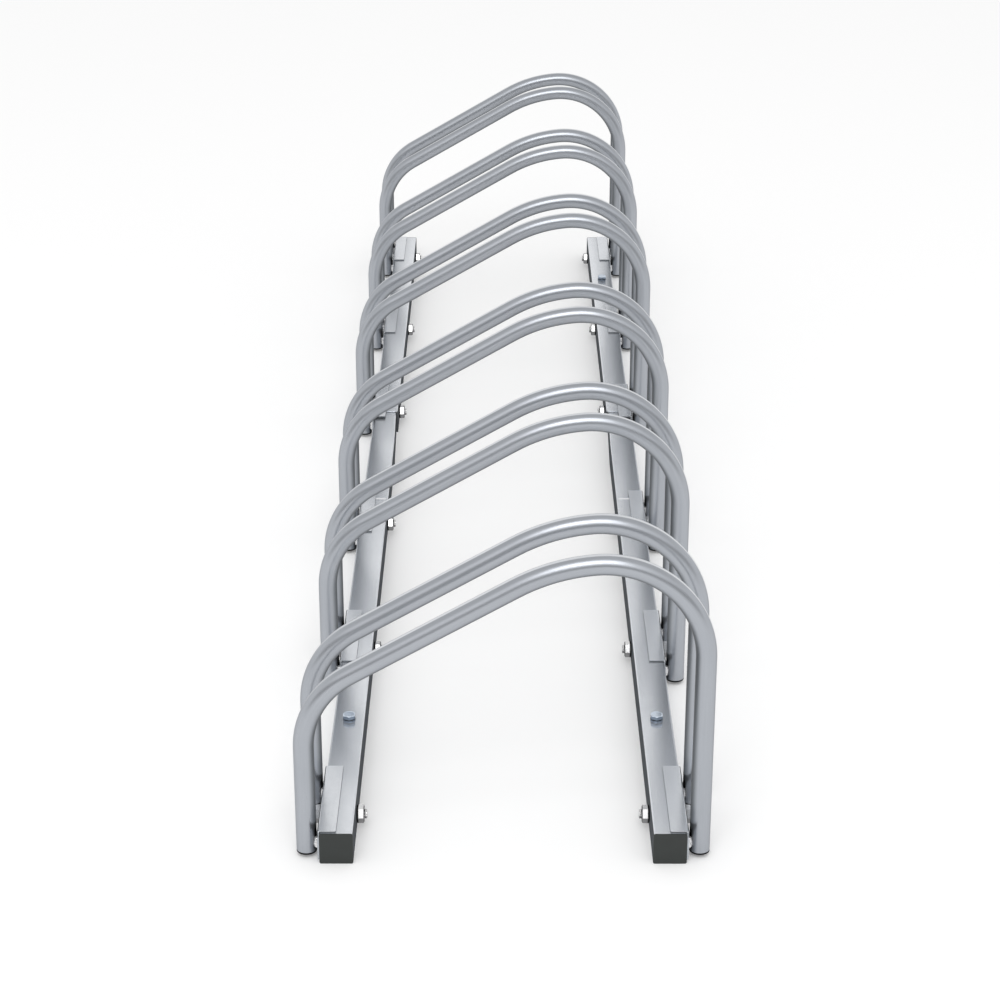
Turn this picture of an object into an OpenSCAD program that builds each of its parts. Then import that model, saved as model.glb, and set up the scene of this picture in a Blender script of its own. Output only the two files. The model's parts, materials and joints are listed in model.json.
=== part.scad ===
// Floor bike rack with six places: two square rails, twelve bent hoops in pairs,
// and an angle bracket under each end of each pair.
// X runs across the rack, Y along the rails, Z up. The origin is on the floor
// under the middle of the rack.

/* [Rails] */
// Length of a whole rail, from end cap to end cap
rack_len = 1600; // [1500:10:1900]
// Outer side of the square rail tube
rail_w = 27; // [24:0.5:32]
// Wall thickness of the rail tube
rail_wall = 1.5; // [1:0.1:2]
// Radius of the rail tube's long outer edges
rail_edge_r = 1.6; // [1.2:0.1:2.5]
// Distance between the centre lines of the two rails
rail_pitch = 265.5; // [240:0.5:300]

/* [Rail joiner] */
// Distance from a middle pair of hoops to the seam beside it
seam_inset = 32.5; // [24:0.5:60]
// Gap all round between the joiner's plugs and the rail sections
joiner_clear = 0.4; // [0.2:0.1:0.6]
// Length of each plug inside its rail section
joiner_plug_len = 82; // [70:1:100]
// Length of the stretch that narrows towards the far plug
joiner_taper_len = 98; // [60:1:120]
// Thickness of the shoulder at the near plug
joiner_shoulder = 3; // [2:0.5:6]

/* [Stations] */
// Distance between the two middle pairs of hoops
middle_pitch = 320; // [300:1:360]
// Distance from each end of the rack to the bracket beside it
end_margin = 2; // [1:0.5:20]
// Place of the pairs in between, as a share of the way from a middle pair to an end pair
between_share = 0.4927; // [0.47:0.0001:0.51]
// Distance between the two hoops of a pair, centre to centre
pair_pitch = 77; // [70:0.5:84]

/* [Hoops] */
// Outer diameter of the hoop tube
tube_d = 16.5; // [15:0.5:18]
// Wall thickness of the hoop tube
tube_wall = 1.2; // [0.8:0.1:2]
// Height of the hoop's feet above the floor
foot_z = 3; // [2:0.5:8]
// Gap between a leg and the bracket beside it
leg_gap = 1.3; // [0.4:0.1:1.5]
// Height at which the low side starts to bend
low_bend_z = 96.5; // [80:0.5:120]
// Bend radius on the low side, to the tube's centre line
low_bend_r = 74; // [50:1:90]
// Angle of the straight slope above the floor
slope_angle = 30; // [24:1:36]
// Bend radius of the crown
crown_r = 150; // [110:1:180]
// Angle at which the crown passes into the high bend
crown_end_angle = 5; // [2:1:9]
// Bend radius on the high side
high_bend_r = 79.5; // [60:0.5:95]

/* [Brackets] */
// Length of bracket that shows past each leg
bracket_margin = 5.75; // [4:0.25:12]
// Sheet thickness of a bracket
bracket_t = 1.5; // [1.5:0.1:3]
// Height of the bracket's lower edge above the floor
bracket_bottom_z = 2.2; // [1:0.1:6]
// Radius of the bracket's free corners
bracket_corner_r = 1; // [1:0.5:6]
// Share of the rail's width that the bracket's top covers
bracket_top_share = 0.5; // [0.4:0.05:0.7]

/* [Weld beads] */
// Radius of the rounded bead
bead_r = 3; // [2.5:0.1:3.5]
// Length of a bead along the leg
bead_len = 10; // [7:0.5:12]
// Height of the middle of a bead above the floor
bead_z = 13.5; // [8.5:0.5:16]
// Gap between a bead and the round leg
bead_clear = 0.05; // [0.02:0.01:0.2]

/* [Cross bolts] */
// Diameter of a cross bolt's shank
bolt_d = 8; // [6:0.5:9]
// Width across the flats of its head and nut
bolt_flats = 13; // [11:0.5:15]
// Height of its head
bolt_head_h = 5.3; // [4:0.1:7]
// Thickness of its nut
nut_h = 6.4; // [4:0.1:8]
// Length of bolt that stands out past the nut
bolt_stub = 2.2; // [1:0.1:5]
// Gap round the shank in the drilled holes
bolt_hole_clear = 0.25; // [0.1:0.05:0.5]
// Gap round the shank in the nut's thread
thread_clear = 0.1; // [0.05:0.05:0.2]

/* [Anchor bolts] */
// Distance of each anchor bolt from its end of the rail
anchor_inset = 190; // [150:1:230]
// Diameter of an anchor bolt's shank
anchor_d = 6; // [5:0.5:7]
// Width across the flats of its head
anchor_flats = 10; // [8:0.5:12]
// Height of its head
anchor_head_h = 4; // [3:0.1:6]
// Length of its shank below the head
anchor_len = 25; // [18:1:27]
// Diameter of its washer
anchor_washer_d = 10.8; // [10:0.1:14]
// Thickness of its washer
anchor_washer_t = 1.6; // [1:0.1:2.5]

/* [End caps] */
// Thickness of an end cap's face
cap_face_t = 1; // [0.8:0.1:3]
// Length of an end cap's plug inside the rail
cap_plug_len = 14; // [8:1:20]
// Wall thickness of that plug
cap_wall = 2; // [1.2:0.1:3]
// Gap all round between that plug and the rail
cap_clear = 0.2; // [0.1:0.05:0.4]

/* [Foot plugs] */
// Thickness of a foot plug's rim under the leg
plug_rim_t = 1.6; // [0.8:0.1:2]
// Height of a foot plug's stem inside the leg
plug_stem_h = 10; // [6:0.5:14]
// Gap round the stem inside the leg
plug_clear = 0.1; // [0.05:0.05:0.3]
// Radius of the rounded edge of the rim
plug_edge_r = 0.5; // [0.2:0.1:0.7]

/* [Hidden] */
$fn = 64;
// Overrun of every cut past the face that it opens
cut_over = 1;
// Share of the flats' width where a head's chamfer starts, and its slope
chamfer_start_share = 0.95;
chamfer_slope = tan(30);
// Shares of a bead's radius by which its middle lies off the bracket and off the leg
bead_off_bracket_share = 0.25;
bead_off_leg_share = 0.6;
// Facets of a full turn of a hoop's bend
bend_facets = 128;

STATIONS = [1, 2, 3, 4, 5, 6];

// Sides of the rack: the factor on X for the left and the right rail
LEFT = -1;
RIGHT = 1;
// Ends of the rack: the factor on Y for the near and the far end
NEAR = -1;
FAR = 1;

rail_x = rail_pitch / 2;
rail_mid_z = rail_w / 2;
rail_bore = rail_w - 2 * rail_wall;
plate_x = rail_w / 2 + bracket_t;
tube_r = tube_d / 2;
leg_x = rail_x + plate_x + leg_gap + tube_r;

// A bracket reaches past both legs of its pair
bracket_len = pair_pitch + tube_d + 2 * bracket_margin;

// Place of each pair of hoops along the rails
middle_y = middle_pitch / 2;
outer_y = rack_len / 2 - end_margin - bracket_len / 2;
inner_y = middle_y + between_share * (outer_y - middle_y);
station_y = [-outer_y, -inner_y, -middle_y, middle_y, inner_y, outer_y];

// The near section ends at -seam_y and the far section starts at seam_y
section_end = rack_len / 2 - cap_face_t;
seam_y = middle_y - seam_inset;
section_len = section_end - seam_y;

// The joiner's plugs slide into the rail sections
plug_w = rail_bore - 2 * joiner_clear;
plug_bore = plug_w - 2 * rail_wall;
// Length of the even bit at each end of its taper
taper_skin = joiner_clear / 4;

// Corners of the hoop's centre line, from the low leg to the high leg
low_centre = [-leg_x + low_bend_r, low_bend_z];
slope_run = 2 * leg_x
  - low_bend_r * (1 - sin(slope_angle))
  - crown_r * (sin(slope_angle) - sin(crown_end_angle))
  - high_bend_r * (1 + sin(crown_end_angle));
slope_len = slope_run / cos(slope_angle);
slope_start = low_centre + low_bend_r * [-sin(slope_angle), cos(slope_angle)];
slope_end = slope_start + slope_len * [cos(slope_angle), sin(slope_angle)];
crown_centre = slope_end + crown_r * [sin(slope_angle), -cos(slope_angle)];
crown_end = crown_centre + crown_r * [-sin(crown_end_angle), cos(crown_end_angle)];
high_centre = crown_end + high_bend_r * [sin(crown_end_angle), -cos(crown_end_angle)];
leg_bottom_z = foot_z + plug_rim_t;

// The tube's wall is this much thicker each way in a bend, and the next stretch reaches into it
bend_lip = 0.1;
joint_reach = 1;
joint_turn = joint_reach / high_bend_r * 180 / PI;

// A bead lies in the groove between the leg and the bracket, touching both
bead_x = rail_x + plate_x + bead_r * bead_off_bracket_share;
bead_reach = sqrt(pow(tube_r + bead_r * bead_off_leg_share, 2) - pow(leg_x - bead_x, 2));

bolt_hole_d = bolt_d + 2 * bolt_hole_clear;
anchor_hole_d = anchor_d + 2 * bolt_hole_clear;
bolt_len = bracket_t + rail_w + nut_h + bolt_stub;

// Square with rounded corners, centred
module soft_square(side, r) {
  square([side, side - 2 * r], center = true);
  square([side - 2 * r, side], center = true);
  for (sx = [-1, 1], sy = [-1, 1])
    translate([sx * (side / 2 - r), sy * (side / 2 - r)]) circle(r);
}

// Square bar along Y from y0 to y1, centred on a rail's centre line
module rail_bar(side, r, y0, y1) {
  translate([0, y1, rail_mid_z]) rotate([90, 0, 0])
    linear_extrude(y1 - y0) soft_square(side, r);
}

// Square hole along Y that opens a rail from y0 to y1
module rail_cut(side, y0, y1) {
  translate([-side / 2, y0, rail_mid_z - side / 2]) cube([side, y1 - y0, side]);
}

// Cross holes for the bolts at the listed places along a rail
module cross_holes(places) {
  for (y = places)
    translate([-rail_w / 2 - bracket_t - cut_over, y, rail_mid_z]) rotate([0, 90, 0])
      cylinder(d = bolt_hole_d, h = rail_w + 2 * bracket_t + 2 * cut_over);
}

// One end section of a rail, lying on the side of the given end
module rail_section(side, end) {
  low = end == NEAR ? -section_end : seam_y;
  high = low + section_len;
  color("silver") translate([side * rail_x, 0, 0]) difference() {
    rail_bar(rail_w, rail_edge_r, low, high);
    rail_cut(rail_bore, low - cut_over, high + cut_over);
    cross_holes([for (y = station_y) if (y * end > 0) y]);
    translate([0, end * (rack_len / 2 - anchor_inset), -cut_over])
      cylinder(d = anchor_hole_d, h = rail_w + 2 * cut_over);
  }
}

// Square tube that narrows from one side length to another between y0 and y1
module tapered_bar(side_0, side_1, y0, y1, r) {
  hull() {
    rail_bar(side_0, r, y0, y0 + taper_skin);
    rail_bar(side_1, r, y1 - taper_skin, y1);
  }
}

// Middle tube that joins the two sections: a plug, a full-size stretch, a taper and a plug
module rail_joiner(side) {
  plug_near = -seam_y - joiner_plug_len;
  plug_far = seam_y + joiner_plug_len;
  taper_start = seam_y - joiner_taper_len;
  color("silver") translate([side * rail_x, 0, 0]) difference() {
    union() {
      rail_bar(plug_w, rail_edge_r, plug_near, -seam_y);
      rail_bar(rail_w, rail_edge_r, -seam_y, taper_start);
      tapered_bar(rail_w, plug_w, taper_start, seam_y, rail_edge_r);
      rail_bar(plug_w, rail_edge_r, seam_y, plug_far);
    }
    rail_cut(plug_bore, plug_near - cut_over, plug_far + cut_over);
    rail_cut(rail_bore, -seam_y + joiner_shoulder, taper_start);
    cross_holes([-middle_y, middle_y]);
  }
}

// Plug with a square face that closes one end of a rail
module rail_cap(side, end) {
  insert = rail_bore - 2 * cap_clear;
  color([0.25, 0.27, 0.26]) translate([side * rail_x, 0, 0])
    mirror([0, end == NEAR ? 0 : 1, 0]) difference() {
      union() {
        rail_bar(rail_w, rail_edge_r, -rack_len / 2, -section_end);
        rail_bar(insert, rail_edge_r, -section_end, -section_end + cap_plug_len);
      }
      rail_cut(insert - 2 * cap_wall, -section_end + cap_wall, -section_end + cap_plug_len + cut_over);
    }
}

// Outline of a bracket seen along the rail: a top plate, a side plate and a round outer bend
module bracket_outline() {
  top_w = rail_w * bracket_top_share;
  translate([rail_w / 2 - top_w, rail_w]) square([top_w, bracket_t]);
  translate([rail_w / 2, bracket_bottom_z]) square([bracket_t, rail_w - bracket_bottom_z]);
  translate([rail_w / 2, rail_w]) intersection() {
    circle(bracket_t);
    square(bracket_t);
  }
}

// Piece that rounds a plate's corner: a small square less a quarter disc, drawn in a corner at 0,0
module corner_cut(r) {
  difference() {
    translate([-cut_over, -cut_over]) square(r + cut_over);
    translate([r, r]) circle(r);
  }
}

// Angle bracket that wraps the rail's outer top edge
module bracket(side, station) {
  y = station_y[station - 1];
  color("gainsboro") mirror([side == LEFT ? 1 : 0, 0, 0]) translate([rail_x, y, 0]) difference() {
    translate([0, bracket_len / 2, 0]) rotate([90, 0, 0]) linear_extrude(bracket_len) bracket_outline();
    cross_holes([0]);
    // Free corners of the side plate
    for (end = [0, 1]) mirror([0, end, 0])
      translate([rail_w / 2 - cut_over, -bracket_len / 2, bracket_bottom_z]) rotate([90, 0, 90])
        linear_extrude(bracket_t + 2 * cut_over) corner_cut(bracket_corner_r);
    // Free corners of the top plate
    for (end = [0, 1]) mirror([0, end, 0])
      translate([rail_w / 2 - rail_w * bracket_top_share, -bracket_len / 2, rail_w - cut_over])
        linear_extrude(bracket_t + 2 * cut_over) corner_cut(bracket_corner_r);
  }
}

// Ring section of the hoop tube, with a wall that a lip makes thicker both ways
module tube_ring(lip) {
  difference() {
    circle(tube_r + lip);
    circle(tube_r - tube_wall - lip);
  }
}

// Straight stretch of tube in the XZ plane, rising at an angle, which reaches into the bends at its ends
module tube_run(from, angle, len, reach_back) {
  translate([from.x, 0, from.y]) rotate([0, 90 - angle, 0]) translate([0, 0, -reach_back])
    linear_extrude(reach_back + len + joint_reach) tube_ring(0);
}

// Bend in the XZ plane round a centre, from one angle to a larger one
module tube_bend(centre, r, from, to, lip) {
  translate([centre.x, 0, centre.y]) rotate([90, 0, 0])
    rotate_extrude(angle = to - from, start = from, $fn = bend_facets) translate([r, 0]) tube_ring(lip);
}

// One hoop: low leg, bend, slope, crown, high bend and high leg
module hoop(station, offset_factor) {
  y = station_y[station - 1] + offset_factor * pair_pitch / 2;
  color([0.66, 0.68, 0.71]) translate([0, y, 0]) {
    tube_run([-leg_x, leg_bottom_z], 90, low_bend_z - leg_bottom_z, 0);
    tube_bend(low_centre, low_bend_r, 90 + slope_angle, 180, bend_lip);
    tube_run(slope_start, slope_angle, slope_len, joint_reach);
    tube_bend(crown_centre, crown_r, 90 + crown_end_angle, 90 + slope_angle, 2 * bend_lip);
    tube_bend(high_centre, high_bend_r, 0, 90 + crown_end_angle + joint_turn, bend_lip);
    tube_run([leg_x, leg_bottom_z], 90, high_centre.y - leg_bottom_z, 0);
  }
}

// Places of all twelve legs along one side
module at_legs(side) {
  for (y = station_y, factor = [-1, 1])
    translate([side * leg_x, y + factor * pair_pitch / 2, 0]) children();
}

// Beads that join the legs of one side to their brackets, two to a leg
module weld_beads(side) {
  straight = bead_len - 2 * bead_r;
  color([0.82, 0.83, 0.85]) mirror([side == LEFT ? 1 : 0, 0, 0]) at_legs(RIGHT)
    for (face = [-1, 1]) difference() {
      translate([bead_x - leg_x, face * bead_reach, bead_z - straight / 2]) {
        cylinder(r = bead_r, h = straight);
        sphere(bead_r);
        translate([0, 0, straight]) sphere(bead_r);
      }
      translate([0, 0, leg_bottom_z - cut_over])
        cylinder(r = tube_r + bead_clear, h = bead_z + bead_len);
      translate([-leg_gap - tube_r - tube_d, -tube_d, 0]) cube([tube_d, 2 * tube_d, bead_z + bead_len]);
    }
}

// Plugs under the legs of one side: a rim with a rounded edge and a stem
module foot_plugs(side) {
  color([0.12, 0.12, 0.13]) at_legs(side) {
    translate([0, 0, foot_z]) rotate_extrude() {
      square([tube_r - plug_edge_r, plug_rim_t]);
      translate([0, plug_edge_r]) square([tube_r, plug_rim_t - plug_edge_r]);
      translate([tube_r - plug_edge_r, plug_edge_r]) circle(plug_edge_r);
    }
    translate([0, 0, leg_bottom_z]) cylinder(r = tube_r - tube_wall - plug_clear, h = plug_stem_h);
  }
}

// Six-sided prism on the Z axis whose outer face has turned, sloping corners
module hex_block(flats, h) {
  corner_d = flats / cos(30);
  start_r = flats / 2 * chamfer_start_share;
  drop = (corner_d / 2 - start_r) * chamfer_slope;
  intersection() {
    cylinder(d = corner_d, h = h, $fn = 6);
    union() {
      cylinder(r = corner_d / 2 + cut_over, h = h - drop);
      translate([0, 0, h - drop]) cylinder(r1 = corner_d / 2, r2 = start_r, h = drop);
    }
  }
}

// Cross bolts of one side, with their heads outside
module cross_bolts(side) {
  color([0.85, 0.86, 0.88]) mirror([side == LEFT ? 1 : 0, 0, 0])
    for (y = station_y) translate([rail_x + plate_x, y, rail_mid_z]) {
      rotate([0, 90, 0]) rotate([0, 0, 90]) hex_block(bolt_flats, bolt_head_h);
      rotate([0, -90, 0]) cylinder(d = bolt_d, h = bolt_len);
    }
}

// Nuts of one side, inside the rails
module cross_nuts(side) {
  color([0.88, 0.88, 0.89]) mirror([side == LEFT ? 1 : 0, 0, 0])
    for (y = station_y) translate([rail_x - rail_w / 2, y, rail_mid_z]) rotate([0, -90, 0])
      difference() {
        rotate([0, 0, 90]) hex_block(bolt_flats, nut_h);
        translate([0, 0, -cut_over]) cylinder(d = bolt_d + 2 * thread_clear, h = nut_h + 2 * cut_over);
      }
}

// Places of the four floor anchors, at a height
module at_anchors(z) {
  for (side = [LEFT, RIGHT], end = [NEAR, FAR])
    translate([side * rail_x, end * (rack_len / 2 - anchor_inset), z]) children();
}

// Bolts that hold the rails to the floor, with a corner of each head towards the near end
module anchor_bolts() {
  color([0.72, 0.75, 0.8]) at_anchors(rail_w + anchor_washer_t) {
    rotate([0, 0, 90]) hex_block(anchor_flats, anchor_head_h);
    translate([0, 0, -anchor_len]) cylinder(d = anchor_d, h = anchor_len);
  }
}

// Washers under those bolts
module anchor_washers() {
  color([0.6, 0.62, 0.66]) at_anchors(rail_w) difference() {
    cylinder(d = anchor_washer_d, h = anchor_washer_t);
    translate([0, 0, -cut_over]) cylinder(d = anchor_hole_d, h = anchor_washer_t + 2 * cut_over);
  }
}

rail_section(LEFT, NEAR);  // left_rail_front
rail_joiner(LEFT);  // left_rail_joiner
rail_section(LEFT, FAR);  // left_rail_rear
rail_section(RIGHT, NEAR);  // right_rail_front
rail_joiner(RIGHT);  // right_rail_joiner
rail_section(RIGHT, FAR);  // right_rail_rear
rail_cap(LEFT, NEAR);  // left_cap_front
rail_cap(LEFT, FAR);  // left_cap_rear
rail_cap(RIGHT, NEAR);  // right_cap_front
rail_cap(RIGHT, FAR);  // right_cap_rear
for (i = STATIONS) {
  bracket(LEFT, i);
  bracket(RIGHT, i);
  hoop(i, -1);
  hoop(i, 1);
}
weld_beads(LEFT);  // left_weld_beads
weld_beads(RIGHT);  // right_weld_beads
foot_plugs(LEFT);  // left_foot_plugs
foot_plugs(RIGHT);  // right_foot_plugs
cross_bolts(LEFT);  // left_cross_bolts
cross_bolts(RIGHT);  // right_cross_bolts
cross_nuts(LEFT);  // left_cross_nuts
cross_nuts(RIGHT);  // right_cross_nuts
anchor_bolts();
anchor_washers();
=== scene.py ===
"""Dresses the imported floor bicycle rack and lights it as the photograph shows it.

Everything is in metres. X runs across the rack from the hoops' low sides to their high
sides, Y runs along the rails away from the camera, Z points up, and the floor is at zero.
"""

import json
import logging
import math
from dataclasses import dataclass, field
from enum import Enum
from typing import Any, Sequence

import bpy
import numpy as np
from mathutils import Matrix, Vector

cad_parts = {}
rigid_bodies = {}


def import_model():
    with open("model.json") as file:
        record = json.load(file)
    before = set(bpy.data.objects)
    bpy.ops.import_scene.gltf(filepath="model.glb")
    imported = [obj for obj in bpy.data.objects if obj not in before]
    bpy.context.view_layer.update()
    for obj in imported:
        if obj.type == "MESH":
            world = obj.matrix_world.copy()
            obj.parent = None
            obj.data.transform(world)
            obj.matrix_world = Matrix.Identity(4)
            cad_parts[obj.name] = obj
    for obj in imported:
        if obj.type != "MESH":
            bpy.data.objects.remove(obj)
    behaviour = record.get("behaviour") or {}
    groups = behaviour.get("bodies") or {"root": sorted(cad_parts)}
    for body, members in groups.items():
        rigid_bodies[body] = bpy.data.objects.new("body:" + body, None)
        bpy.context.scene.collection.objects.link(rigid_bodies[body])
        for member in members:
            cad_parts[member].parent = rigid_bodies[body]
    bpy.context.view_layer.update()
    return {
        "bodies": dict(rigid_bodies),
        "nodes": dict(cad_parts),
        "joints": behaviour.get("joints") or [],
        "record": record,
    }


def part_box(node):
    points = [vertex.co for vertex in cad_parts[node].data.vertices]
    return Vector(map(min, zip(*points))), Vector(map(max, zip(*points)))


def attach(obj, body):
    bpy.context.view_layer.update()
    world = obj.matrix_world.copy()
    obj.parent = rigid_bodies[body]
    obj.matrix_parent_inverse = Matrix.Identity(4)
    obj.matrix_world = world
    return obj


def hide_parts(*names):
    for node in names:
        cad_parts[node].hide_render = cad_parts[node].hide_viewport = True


LOG = logging.getLogger("bicycle_rack")
MM = 0.001
BODY = "root"
UNROLLED = "unrolled"
# Numbers of the rack's six pairs of hoops
PAIRS = range(1, 7)

Number = float | int
Span = tuple[float, float]
Linear = tuple[float, float, float]


class Side(Enum):
    """The side of the rack, as the factor on X."""

    LEFT = -1
    RIGHT = 1

    @property
    def word(self) -> str:
        """The side's name as the nodes spell it."""
        return self.name.lower()


class Slot(Enum):
    """The record's material slots."""

    GALVANISED = "galvanised"
    TUBE_STEEL = "tube_steel"
    BRIGHT_ZINC = "bright_zinc"
    ANCHOR_ZINC = "anchor_zinc"
    WELD_METAL = "weld_metal"
    CAP_PLASTIC = "cap_plastic"
    PLUG_PLASTIC = "plug_plastic"


# Shader graphs


class Wire:
    """An output socket that adds Math nodes when it is used in an expression."""

    def __init__(self, graph: "Graph", socket: bpy.types.NodeSocket) -> None:
        """Wraps an output socket of a graph."""
        self.graph = graph
        self.socket = socket

    def _math(self, operation: str, *operands: "Wire | Number") -> "Wire":
        """Adds a Math node and returns its result."""
        return self.graph.add("ShaderNodeMath", {"operation": operation}, dict(enumerate(operands)))

    def __add__(self, other: "Wire | Number") -> "Wire":
        """The sum."""
        return self._math("ADD", self, other)

    __radd__ = __add__

    def __sub__(self, other: "Wire | Number") -> "Wire":
        """The difference."""
        return self._math("SUBTRACT", self, other)

    def __rsub__(self, other: "Wire | Number") -> "Wire":
        """The difference, with this wire taken away."""
        return self._math("SUBTRACT", other, self)

    def __mul__(self, other: "Wire | Number") -> "Wire":
        """The product."""
        return self._math("MULTIPLY", self, other)

    __rmul__ = __mul__

    def __abs__(self) -> "Wire":
        """The value without its sign."""
        return self._math("ABSOLUTE", self)

    def __or__(self, other: "Wire | Number") -> "Wire":
        """The larger value, which joins two masks."""
        return self._math("MAXIMUM", self, other)


class Graph:
    """A node tree that is filled by Python expressions."""

    def __init__(self, tree: bpy.types.NodeTree) -> None:
        """Takes over the node tree of a material or a world and empties it."""
        self.tree = tree
        tree.nodes.clear()

    def add(
        self,
        kind: str,
        settings: dict[str, Any] | None = None,
        inputs: dict[str | int, Any] | None = None,
        output: str | int = 0,
    ) -> Wire | None:
        """Adds one node.

        Args:
            kind: The node's type.
            settings: Properties that are set before the sockets.
            inputs: Values, wires or colours of the input sockets, by name or number.
            output: The output socket that is wanted.

        Returns:
            The wanted output, or None if the node has no outputs.
        """
        node = self.tree.nodes.new(kind)
        for name, value in (settings or {}).items():
            setattr(node, name, value)
        for name, value in (inputs or {}).items():
            if isinstance(value, Wire):
                self.tree.links.new(value.socket, node.inputs[name])
            else:
                node.inputs[name].default_value = value
        return Wire(self, node.outputs[output]) if node.outputs else None

    def place(self) -> Wire:
        """The object coordinates."""
        return self.add("ShaderNodeTexCoord", {}, {}, "Object")

    def along(self, axis: str, source: Wire | None = None) -> Wire:
        """One axis of the given coordinates, or of the object coordinates."""
        return self.add("ShaderNodeSeparateXYZ", {}, {"Vector": source or self.place()}, axis)

    def ramp(self, value: Wire, span: Span, unit: float = 1.0, origin: float = 0.0) -> Wire:
        """A smooth step of a value, from 0 at the span's start to 1 at its end.

        Args:
            value: The value.
            span: Where the step starts and where it ends.
            unit: What the span counts in.
            origin: Where the span counts from.

        Returns:
            The step, which rises with the value.
        """
        low, high = (origin + end * unit for end in span)
        settings = {"interpolation_type": "SMOOTHSTEP"}
        return self.add("ShaderNodeMapRange", settings, {0: value, 1: low, 2: high})

    def band(self, value: Wire, low: float, high: float, fades: Span) -> Wire:
        """A mask that is 1 from low to high and reaches past each of them by its fade."""
        return self.ramp(value, (low - fades[0], low)) - self.ramp(value, (high, high + fades[1]))

    def blend(self, share: Wire, first: Linear | Wire, second: Linear | Wire) -> Wire:
        """A colour between two colours.

        Args:
            share: The share of the second colour.
            first: The colour at a share of 0.
            second: The colour at a share of 1.

        Returns:
            The mixed colour.
        """
        ends = [end if isinstance(end, Wire) else (*end, 1.0) for end in (first, second)]
        sockets = {0: share, 6: ends[0], 7: ends[1]}
        return self.add("ShaderNodeMix", {"data_type": "RGBA"}, sockets, 2)


# Finishes


class Pattern(Enum):
    """What a layer of grain is made of."""

    NOISE = "noise"
    SPANGLE = "spangle"


@dataclass(frozen=True)
class Layer:
    """One layer of a finish's grain.

    Attributes:
        scale: Cells to a metre, before any stretching.
        detail: The number of finer layers in the noise.
        stretch: Factor on the coordinates along each axis.
        span: Levels between which the layer comes out, or None if all of it shows.
        share: How far the layer takes the colour towards the shade.
        height: How far it raises the surface, as a share of the bump's depth.
        pattern: What it is made of.
    """

    scale: float
    detail: float = 2.0
    stretch: Linear | None = None
    span: Span | None = None
    share: float = 0.0
    height: float = 0.0
    pattern: Pattern = Pattern.NOISE

    def level(self, graph: Graph, source: Wire) -> Wire:
        """Adds the layer's nodes.

        Args:
            graph: The material's graph.
            source: The coordinates.

        Returns:
            The layer's level, from 0 to 1.
        """
        if self.stretch:
            factors = {0: source, 1: self.stretch}
            source = graph.add("ShaderNodeVectorMath", {"operation": "MULTIPLY"}, factors)
        sockets = {"Vector": source, "Scale": self.scale}
        if self.pattern is Pattern.SPANGLE:
            level = graph.add("ShaderNodeTexVoronoi", {"feature": "SMOOTH_F1"}, sockets, "Distance")
        else:
            level = graph.add("ShaderNodeTexNoise", {}, {**sockets, "Detail": self.detail}, "Fac")
        return graph.ramp(level, self.span) if self.span else level


@dataclass(frozen=True)
class Finish:
    """A finish of the rack: a colour, a polish and a grain.

    Attributes:
        name: The material's name.
        colour: The base colour, linear.
        shade: The darker colour that the grain reaches.
        metallic: How metallic it is.
        roughness: The middle roughness.
        spread: How far the roughness goes each way.
        edge_tint: How bright the metal stays where it is seen at a flat angle.
        gloss: The reflection level of what isn't metal.
        layers: The layers of the grain.
        bump_depth: How deep the grain is.
        bump_strength: The share of the bump's effect.
    """

    name: str
    colour: Linear
    shade: Linear
    metallic: float
    roughness: float
    spread: float = 0.06
    edge_tint: float = 1.0
    gloss: float = 0.5
    layers: tuple[Layer, ...] = ()
    bump_depth: float = 0.01 * MM
    bump_strength: float = 0.35

    def material(self) -> bpy.types.Material:
        """Makes the material.

        The grain is the sum of each layer's level times its share, and the bump's height
        is the sum of each layer's level times its height.

        Returns:
            The finished material.
        """
        made = bpy.data.materials.new(self.name)
        made.use_nodes = True
        graph = Graph(made.node_tree)
        source = self.coordinates(graph)
        levels = [(layer, layer.level(graph, source)) for layer in self.layers]
        grain = sum(level * layer.share for layer, level in levels if layer.share)
        height = sum(level * layer.height for layer, level in levels if layer.height)
        bump = {"Height": height, "Distance": self.bump_depth, "Strength": self.bump_strength}
        sockets = {
            "Base Color": self.colouring(graph, grain),
            "Metallic": self.metalness(graph),
            "Specular IOR Level": self.gloss,
            "Specular Tint": (self.edge_tint, self.edge_tint, self.edge_tint, 1.0),
            "Roughness": grain * (2 * self.spread) + (self.roughness - self.spread),
            "Normal": graph.add("ShaderNodeBump", {}, bump, "Normal"),
        }
        surface = graph.add("ShaderNodeBsdfPrincipled", {}, sockets)
        graph.add("ShaderNodeOutputMaterial", {}, {"Surface": surface})
        return made

    def coordinates(self, graph: Graph) -> Wire:
        """The coordinates that the grain reads."""
        return graph.place()

    def colouring(self, graph: Graph, grain: Wire) -> Wire:
        """The base colour: the colour and the shade, mixed by the grain."""
        return graph.blend(grain, self.colour, self.shade)

    def metalness(self, graph: Graph) -> Wire | float:
        """How metallic the surface is."""
        return self.metallic


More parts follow.
